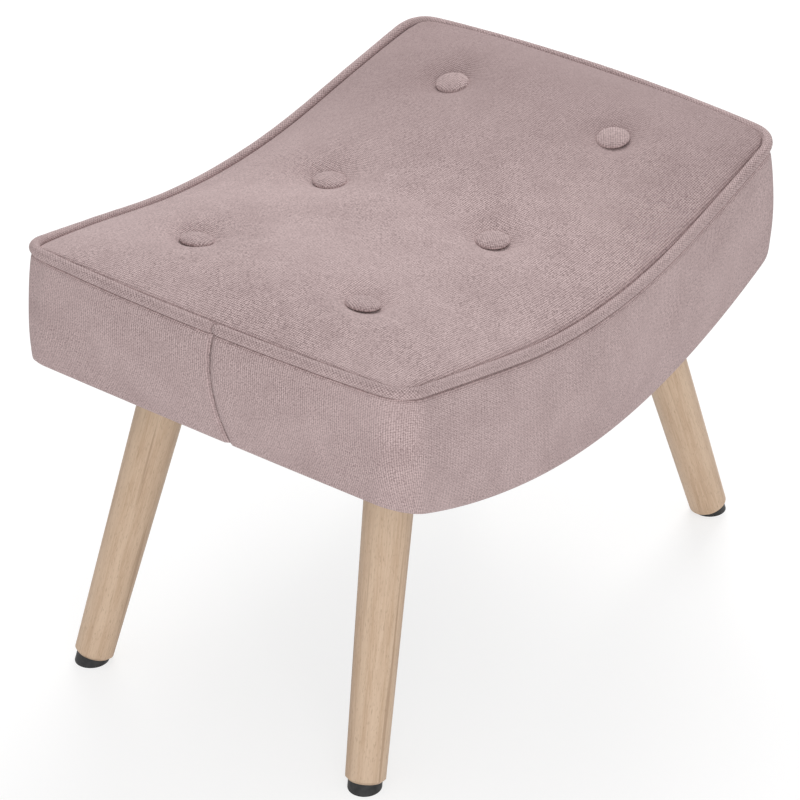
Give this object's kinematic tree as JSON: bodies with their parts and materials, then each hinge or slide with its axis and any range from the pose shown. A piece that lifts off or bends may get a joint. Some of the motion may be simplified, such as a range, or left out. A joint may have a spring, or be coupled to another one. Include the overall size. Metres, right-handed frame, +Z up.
{
  "type": "upholstered saddle footstool",
  "caption": "Low footstool with a saddle-shaped, button-tufted fabric seat, piped top edge and splayed round wooden legs on black feet, for resting the feet beside a chair.",
  "frame": {"origin": "on the floor, under the middle of the seat", "axes": "+X along the saddle, from end to end; +Y across it, to the back; +Z up"},
  "size_m": [0.524, 0.387, 0.3857],
  "materials": {
    "cover_fabric": "dusty mauve-pink woven velour with a soft nap",
    "leg_wood": "pale beech, clear matt lacquer",
    "foot_black": "black moulded plastic",
    "frame_wood": "raw plywood",
    "steel": "zinc plated",
    "foam": "open-cell upholstery foam",
    "wadding": "white polyester wadding",
    "cord": "twisted cotton and waxed twine",
    "washer": "plain moulded plastic",
    "dust_cloth": "black non-woven cloth"
  },
  "bodies": {
    "root": {"boxing_back": "cover_fabric", "boxing_front": "cover_fabric", "button_1_back": "cover_fabric", "button_1_front": "cover_fabric", "button_2_back": "cover_fabric", "button_2_front": "cover_fabric", "button_3_back": "cover_fabric", "button_3_front": "cover_fabric", "button_twines": "cord", "cross_rail_left": "frame_wood", "cross_rail_right": "frame_wood", "dust_cover": "dust_cloth", "end_rail_left": "frame_wood", "end_rail_right": "frame_wood", "foam_pad": "foam", "foot_nails": "steel", "foot_pad_back_left": "foot_black", "foot_pad_back_right": "foot_black", "foot_pad_front_left": "foot_black", "foot_pad_front_right": "foot_black", "frame_screws": "steel", "hanger_bolts": "steel", "leg_back_left": "leg_wood", "leg_back_right": "leg_wood", "leg_block_back_left": "frame_wood", "leg_block_back_right": "frame_wood", "leg_block_front_left": "frame_wood", "leg_block_front_right": "frame_wood", "leg_front_left": "leg_wood", "leg_front_right": "leg_wood", "piping_cord": "cord", "piping_sleeve": "cover_fabric", "seat_deck": "frame_wood", "side_rail_back": "frame_wood", "side_rail_front": "frame_wood", "side_wrap": "foam", "t_nuts": "steel", "top_panel": "cover_fabric", "twine_washers": "washer", "wadding": "wadding"}
  },
  "joints": []
}
